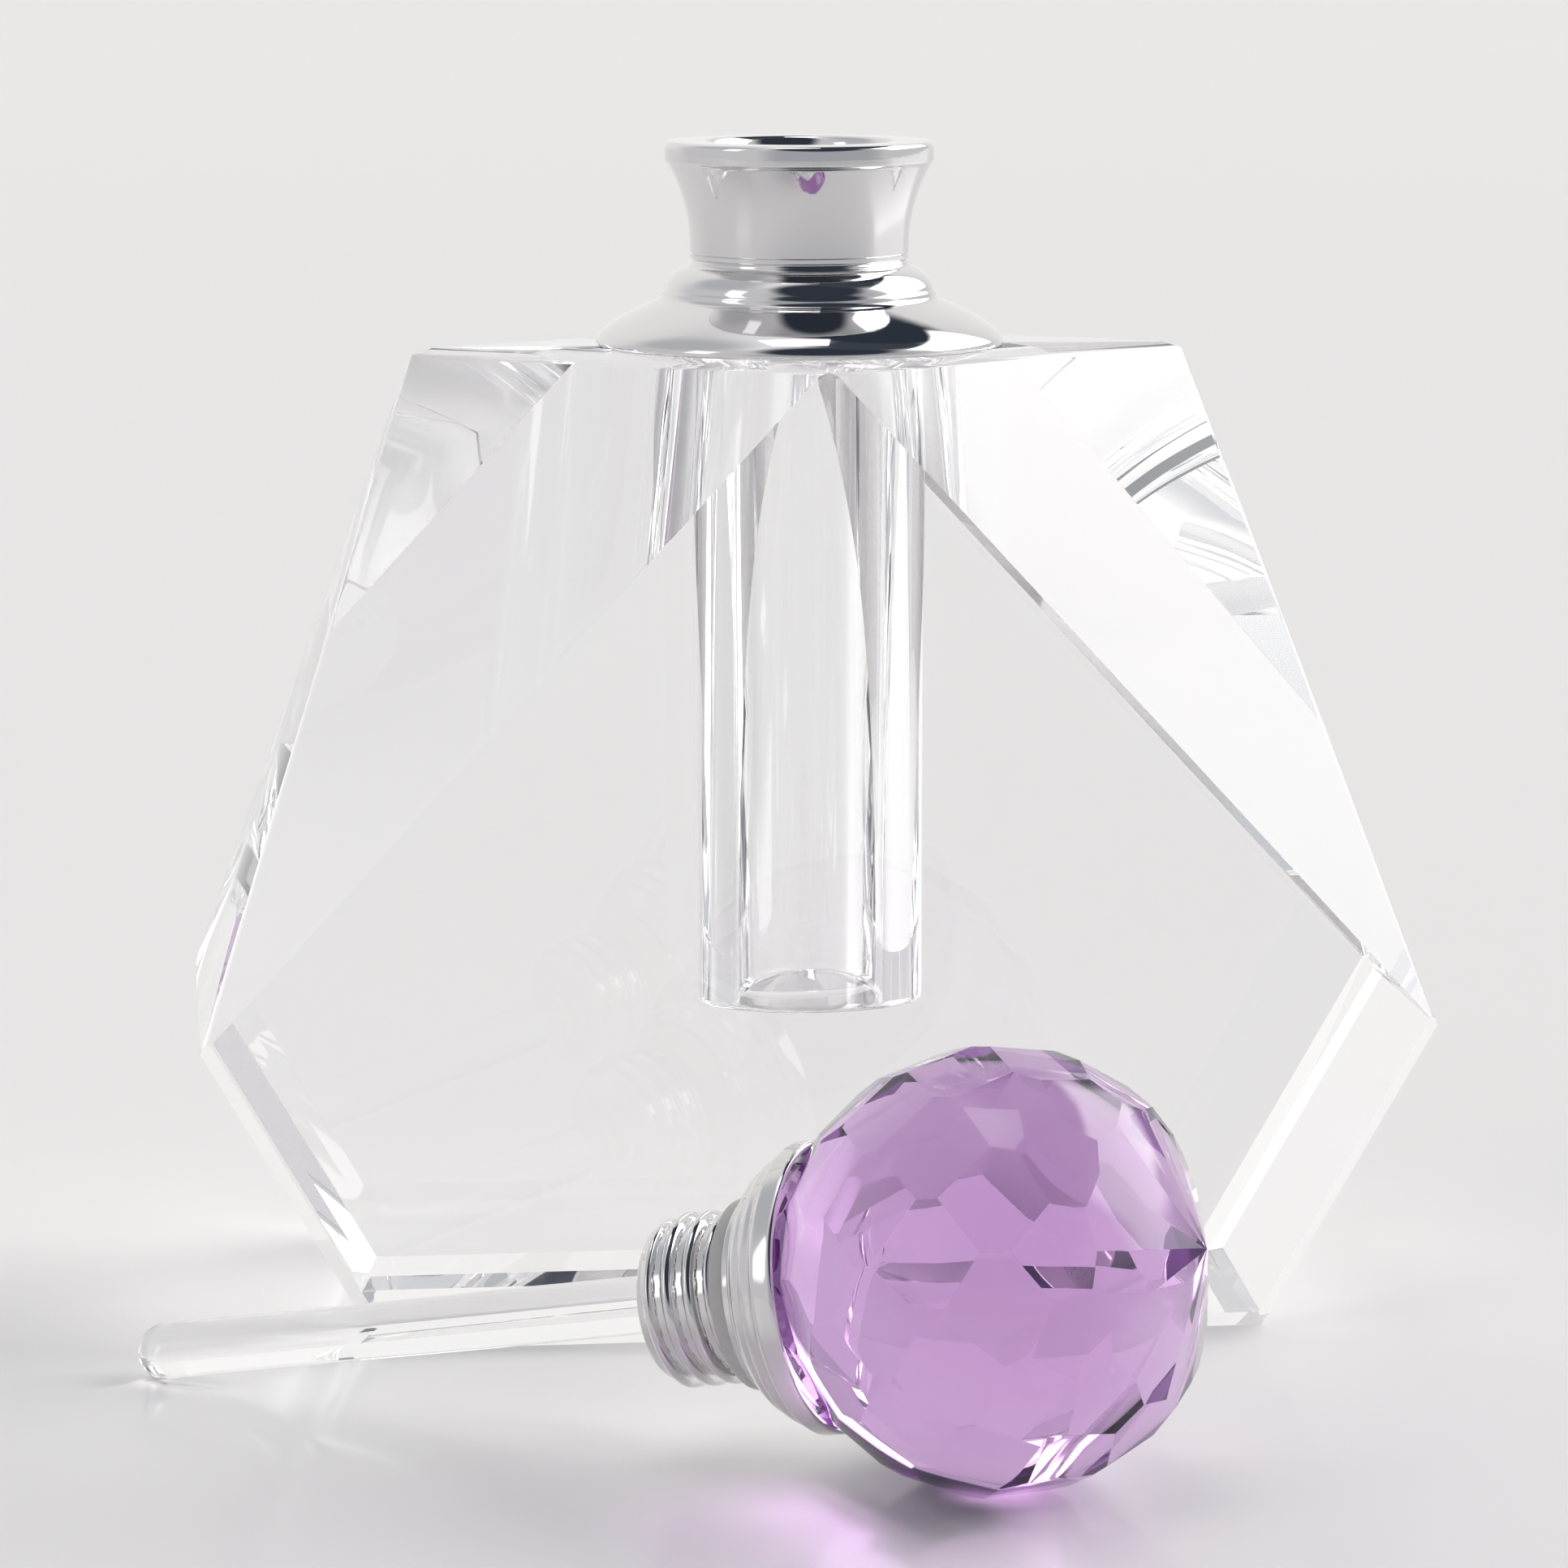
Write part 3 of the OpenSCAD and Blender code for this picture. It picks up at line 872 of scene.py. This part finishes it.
@dataclass
class StopperMetal(Stopper):
    """The stepped cup that grips the ball, and the plug with its thread."""

    cup_seat: float = 12.8
    cup_base: float = 17.1
    root_r: float = 5.3
    crest_r: float = 5.93
    thread_from: float = 23.45
    thread_to: float = 18.9
    thread_start_deg: float = 240.0
    pitch: float = 1.6
    ridge_half: float = 0.34

    def cup_skin(self) -> Skin:
        """Turns the cup: a cone for the ball, a rolled rim, three fine steps and the base disc."""
        steps = np.array([
            [0, -self.cup_base], [6.8, -self.cup_base], [6.8, -16.55], [7.42, -16.35], [7.7, -15.95],
            [8.12, -15.85], [8.5, -15.4], [8.58, -14.95], [8.95, -14.8], [9.22, -14.35], [9.27, -13.85],
            [9.62, -13.62], [9.88, -13.3], [9.9, -12.15], [9.8, -11.9], [9.58, -11.86], [8.3, -self.cup_seat],
            [0, -self.cup_seat]])
        return turned(eased(steps, 0.14))

    def plug_skin(self) -> Skin:
        """Turns the plug: a straight root with a chamfered end and a shallow socket for the bush.

        The thread is a ridge whose radius follows the height along the axis plus a turn's share of
        the pitch, and which fades out over two thirds of a pitch at both ends.

        Returns:
            The plug in the stopper's own frame.
        """
        top, end = -self.cup_base - 0.02, -self.plug_end
        wall = np.linspace(end + 0.4, -18.3, 90)[:, None]
        outline = np.vstack([
            [[0, end + 0.6], [self.bush_r + 0.02, end + 0.6], [self.bush_r + 0.02, end + 0.12],
             [self.bush_r + 0.14, end], [self.root_r - 0.34, end]],
            arc((self.root_r - 0.34, end), (self.root_r - 0.02, end + 0.02),
                (self.root_r, end + 0.38), 6)[1:],
            np.hstack([0 * wall + self.root_r, wall]),
            [[self.root_r, -18.25], [self.root_r, top], [0, top]]])

        def ridge(r: np.ndarray, z: np.ndarray, angle: np.ndarray) -> np.ndarray:
            """Raises the thread on the outer wall."""
            phase = ((z + self.thread_from) / self.pitch
                     - (angle - math.radians(self.thread_start_deg)) / (2 * math.pi)) % 1.0
            off = np.minimum(phase, 1 - phase)
            bulge = np.clip(1 - (off / self.ridge_half) ** 2, 0, 1) ** 0.75
            fade = (np.clip((z + self.thread_from + 0.55) / 0.9, 0, 1)
                    * np.clip((-self.thread_to - z + 0.35) / 0.8, 0, 1))
            return np.where(np.abs(r - self.root_r) < 1e-6, (self.crest_r - self.root_r) * bulge * fade, 0.0)

        return turned(outline, segments=160, relief=ridge)

    def build(self, chrome: Material, lying: Lying) -> None:
        """Builds the cup and the plug where the stopper lies."""
        lying.place(self.cup_skin()).build("chromed_cup", chrome, Body.STOPPER, Slot.CHROME, "ferrule_cup")
        lying.place(self.plug_skin()).build(
            "chromed_plug", chrome, Body.STOPPER, Slot.CHROME, "threaded_plug", sharp_deg=60)


@dataclass
class Dauber(Stopper):
    """The clear rod with its melted tip, the bush that grips it, the sealing ring and the ball's glue."""

    rod_top: float = 15.4
    ring_in: float = 5.4
    ring_out: float = 6.6
    ring_low: float = 18.25
    ring_t: float = 1.1
    glue_r: float = 7.6

    def rod_skin(self) -> Skin:
        """Turns the rod: a hemisphere flowing into a straight shaft with slow, very slight waists.

        Returns:
            The rod in the stopper's own frame.
        """
        a = np.linspace(0, math.pi / 2, 16)
        tip = np.stack([self.rod_r * np.sin(a), -self.reach - self.rod_r * np.cos(a)], -1)
        z = np.linspace(-self.reach + 0.4, -self.rod_top - 0.1, 40)
        shaft = np.stack([self.rod_r - 0.03 * np.sin((z + self.reach) / 9) ** 2 * (z > -self.reach), z], -1)
        return turned(np.vstack([tip, shaft, [[0, -self.rod_top]]]), segments=96)

    def ring_skin(self) -> Skin:
        """Turns the sealing ring, a flat washer with softly rounded edges."""
        low, high = -self.ring_low, -self.ring_low + self.ring_t
        section = np.array([
            [self.ring_in, low], [self.ring_out - 0.15, low], [self.ring_out, high], [self.ring_in, high]])
        return turned(eased(section, 0.22, closed=True), closed=True)

    def bush_skin(self) -> Skin:
        """Turns the visible collar of the bush round the rod, with an eased mouth."""
        low, high = -self.plug_end + 0.25, -self.plug_end + 0.58
        section = np.array([[self.rod_r + 0.02, low], [self.bush_r, low], [self.bush_r, high],
                            [self.rod_r + 0.02, high]])
        return turned(eased(section, 0.1, closed=True), segments=96, closed=True)

    def glue_skin(self) -> Skin:
        """Turns the thin film under the ball, a hundredth of a millimetre clear of ball and cup."""
        low, high = -self.seat - 0.09, -self.seat - 0.01
        return turned(np.array([[0, low], [self.glue_r, low], [self.glue_r, high], [0, high]]))

    def build(self, glass: Material, polymer: Material, glue: Material, lying: Lying) -> None:
        """Builds the four pieces.

        Args:
            glass: Finish of the rod.
            polymer: Finish of the ring and the bush.
            glue: Finish of the film.
            lying: Where the stopper lies.
        """
        lying.place(self.rod_skin()).build("glass_rod", glass, Body.STOPPER, Slot.ROD_GLASS, "dauber_rod")
        lying.place(self.ring_skin()).build(
            "sealing_ring", polymer, Body.SEAL, Slot.POLYMER, "sealing_gasket")
        lying.place(self.bush_skin()).build("bush_collar", polymer, Body.STOPPER, Slot.POLYMER, "rod_bush")
        lying.place(self.glue_skin()).build("ball_glue_film", glue, Body.STOPPER, Slot.GLUE, "ball_adhesive")


# ---------------- the studio


def skyward(turn_deg: float, rise_deg: float) -> tuple[float, float, float]:
    """Gives the unit vector turned from straight ahead to the right, and raised above the horizon."""
    a, e = math.radians(turn_deg), math.radians(rise_deg)
    return math.sin(a) * math.cos(e), math.cos(a) * math.cos(e), math.sin(e)


def along(tree: NodeTree, way: NodeSocket, axis: tuple[float, float, float]) -> NodeSocket:
    """Adds the dot product of a ray's direction and an axis."""
    return add_node(tree, "VectorMath", {0: way, 1: axis}, operation="DOT_PRODUCT").outputs["Value"]


@dataclass(frozen=True)
class SkyPart:
    """A part of the surround.

    Attributes:
        turn_deg: Where its middle is, turned from straight ahead to the right.
        rise_deg: How high its middle is above the horizon.
    """

    turn_deg: float
    rise_deg: float

    def light(self) -> tuple[float, float, float, float]:
        """Gives its colour in linear light."""
        raise NotImplementedError

    def share(self, tree: NodeTree, way: NodeSocket) -> NodeSocket:
        """Works out how much of it shows along a ray.

        Args:
            tree: The surround's node tree.
            way: The ray's direction.

        Returns:
            The share, from 0 to 1.
        """
        raise NotImplementedError

    def over(self, tree: NodeTree, way: NodeSocket, under: Union[NodeSocket, tuple]) -> NodeSocket:
        """Lays it over the colour so far, which is plain or comes from a node."""
        blend = {0: self.share(tree, way), 6: under, 7: self.light()}
        return add_node(tree, "Mix", blend, data_type="RGBA").outputs[2]


@dataclass(frozen=True)
class Patch(SkyPart):
    """A soft-edged cap: it fills one half angle and has faded out at another."""

    core_deg: float
    edge_deg: float
    colour: str

    def light(self) -> tuple[float, float, float, float]:
        """Gives its colour in linear light."""
        return linear(self.colour)

    def share(self, tree: NodeTree, way: NodeSocket) -> NodeSocket:
        """Steps smoothly in the cosine between the ray and the cap's middle. See SkyPart."""
        near = along(tree, way, skyward(self.turn_deg, self.rise_deg))
        edge, core = math.cos(math.radians(self.edge_deg)), math.cos(math.radians(self.core_deg))
        return spread(tree, near, edge, core, interpolation_type="SMOOTHSTEP")


@dataclass(frozen=True)
class Panel(SkyPart):
    """A far light panel, so that it lights near and far floor alike.

    Attributes:
        half_deg: Half its width and half its height, as angles.
        soft: Share of each half over which the edge fades.
        face: How bright it is.
    """

    half_deg: tuple[float, float]
    soft: float
    face: float

    def light(self) -> tuple[float, float, float, float]:
        """Gives its brightness as a neutral colour."""
        return self.face, self.face, self.face, 1.0

    def share(self, tree: NodeTree, way: NodeSocket) -> NodeSocket:
        """Resolves the ray along the panel's normal, width and height.

        Width and height over the normal's part give the place on the panel, and a smooth step on
        each fades its edges. See SkyPart.
        """
        middle = skyward(self.turn_deg, self.rise_deg)
        right = skyward(self.turn_deg + 90, 0)
        up = tuple(float(c) for c in np.cross(right, middle))
        ahead = along(tree, way, middle)
        shown = add_node(tree, "Math", {0: ahead, 1: 0.05}, operation="GREATER_THAN")
        for axis, half in zip((right, up), self.half_deg):
            place = add_node(tree, "Math", {0: along(tree, way, axis), 1: ahead}, operation="DIVIDE")
            off = add_node(tree, "Math", {0: place.outputs["Value"]}, operation="ABSOLUTE")
            edge = math.tan(math.radians(half))
            inside = spread(tree, off.outputs["Value"], edge, edge * (1 - self.soft),
                            interpolation_type="SMOOTHSTEP")
            shown = add_node(tree, "Math", {0: shown.outputs["Value"], 1: inside}, operation="MULTIPLY")
        return shown.outputs["Value"]


@dataclass(frozen=True)
class Softbox:
    """A flat light panel: where its middle is, where it aims, its size and how bright its face is."""

    name: str
    at: tuple[float, float, float]
    aim: tuple[float, float, float]
    size: tuple[float, float]
    face: float

    def make(self) -> Object:
        """Hangs the panel. Its power is face brightness times pi times area.

        Returns:
            The light.
        """
        lamp = bpy.data.lights.new(self.name, "AREA")
        lamp.shape = "RECTANGLE"
        lamp.size, lamp.size_y = self.size
        lamp.energy = self.face * math.pi * self.size[0] * self.size[1]
        panel = bpy.data.objects.new(self.name, lamp)
        bpy.context.scene.collection.objects.link(panel)
        panel.matrix_world = looking(self.at, self.aim)
        panel.visible_camera = False
        return panel


def looking(at: Sequence[float], aim: Sequence[float]) -> Matrix:
    """Works out the placement of a lamp or camera that looks along its -Z, with +Z kept up.

    Args:
        at: Where it stands, in metres.
        aim: What it looks at.

    Returns:
        The 4 by 4 matrix.
    """
    back = unit(np.array(at, float) - np.array(aim, float))
    right = unit(np.cross([0, 0, 1.0] if abs(back[2]) < 0.999 else [0, 1.0, 0], back))
    up = np.cross(back, right)
    matrix = np.eye(4)
    matrix[:3, :4] = np.stack([right, up, back, np.array(at, float)], -1)
    return Matrix(matrix.tolist())


@dataclass
class Studio:
    """Floor, surround, lights and camera."""

    wall: str = "#CECDD0"
    wall_glow: float = 1.12
    patches: tuple[Patch, ...] = (
        Patch(0, 90, 14, 40, "#EEEDEF"),
        Patch(-5, 10, 25, 60, "#EBEAE9"),
        Patch(-75, 52, 10, 30, "#B9BBC0"),
        Patch(165, 6, 35, 62, "#A9ABB0"),
        Patch(165, 48, 25, 39, "#323842"),
        Patch(92, 66, 14, 25, "#3F454E"),
        Patch(36, 58, 15, 22, "#2E3640"),
    )
    panels: tuple[Panel, ...] = (
        Panel(72, 31, (30, 20), 0.2, 3.4),
        Panel(-112, 26, (9, 17), 0.3, 1.25),
    )
    overhead: Softbox = Softbox("overhead", (0.0, 0.1, 1.2), (0.0, 0.0, 0.0), (0.35, 0.35), 1.4)
    floor_r: float = 4000.0
    floor_gap: float = 0.04
    bounces: int = 28
    camera_mm: tuple[float, float, float] = (-47.22, -410.45, 106.39)
    yaw: float = 0.1118
    pitch: float = 0.1638
    lens: float = 128.57

    def camera(self) -> None:
        """Sets up the camera, square on to no face: a little to the left and a little above."""
        data = bpy.data.cameras.new("view")
        data.lens, data.sensor_width = self.lens, 36.0
        data.clip_start, data.clip_end = 0.01, 50.0
        eye = np.array(self.camera_mm) * MM
        ahead = np.array(skyward(math.degrees(self.yaw), -math.degrees(self.pitch)))
        view = bpy.data.objects.new("view", data)
        bpy.context.scene.collection.objects.link(view)
        view.matrix_world = looking(eye, eye + ahead)
        bpy.context.scene.camera = view

    def floor(self, paper: Material) -> None:
        """Lays a wide round floor, a hair under the bottle's base so that the glass keeps its own surface.

        Args:
            paper: Its finish.
        """
        low, high, wide = -2.0, -self.floor_gap, self.floor_r
        slab = turned(np.array([[0, low], [wide, low], [wide, high], [0, high]]), segments=96)
        slab.stand("floor", paper)

    def surround(self) -> None:
        """Wraps the studio in a pale surround with soft-edged patches and panels.

        The room behind the camera is unlit, and the wall behind the bottle is lit.
        """
        world = bpy.data.worlds.new("studio_surround")
        bpy.context.scene.world = world
        world.use_nodes = True
        tree = world.node_tree
        tree.nodes.clear()
        way = add_node(tree, "TexCoord").outputs["Generated"]
        colour = linear(self.wall)
        for part in (*self.patches, *self.panels):
            colour = part.over(tree, way, colour)
        glow = add_node(tree, "Background", {"Color": colour, "Strength": self.wall_glow})
        out = add_node(tree, "OutputWorld")
        tree.links.new(glow.outputs["Background"], out.inputs["Surface"])

    def build(self, paper: Material) -> None:
        """Builds everything round the object.

        Args:
            paper: The floor's finish.
        """
        self.camera()
        self.floor(paper)
        self.surround()
        self.overhead.make()
        paths = bpy.context.scene.cycles
        # without this, light that has come through the glass is lost from the floor
        paths.blur_glossy = 0.0
        paths.max_bounces = paths.transmission_bounces = paths.glossy_bounces = self.bounces
        bpy.context.scene.view_settings.view_transform = "Standard"
        bpy.context.scene.view_settings.look = "None"


def main() -> None:
    """Builds the finishes, the bottle, the stopper and the studio, in that order."""
    logging.basicConfig(level=logging.INFO, format="%(name)s: %(message)s")
    clear = CutCrystal("clear_cut_crystal").make()
    lilac = CutCrystal("lilac_cut_crystal", depth_colour="#CD6EDC", per_metre=41.0, ior=1.55).make()
    rod_glass = CutCrystal("drawn_rod_glass", ior=1.474, haze=0.03, cord_mm=3.0, cord_depth_mm=0.002).make()
    chrome = ChromePlate("bright_chrome_plate").make()
    polymer = MilkyPolymer("milky_polyethylene").make()
    glue = GlueFilm("clear_cured_glue").make()
    Flacon().build(clear, glue)
    NeckCollar().build(chrome)
    lying = Lying.from_frame()
    CrystalBall().build(lilac, lying)
    StopperMetal().build(chrome, lying)
    Dauber().build(rod_glass, polymer, glue, lying)
    Studio().build(StudioPaper("pale_laminate").make())


if __name__ == "__main__":
    main()
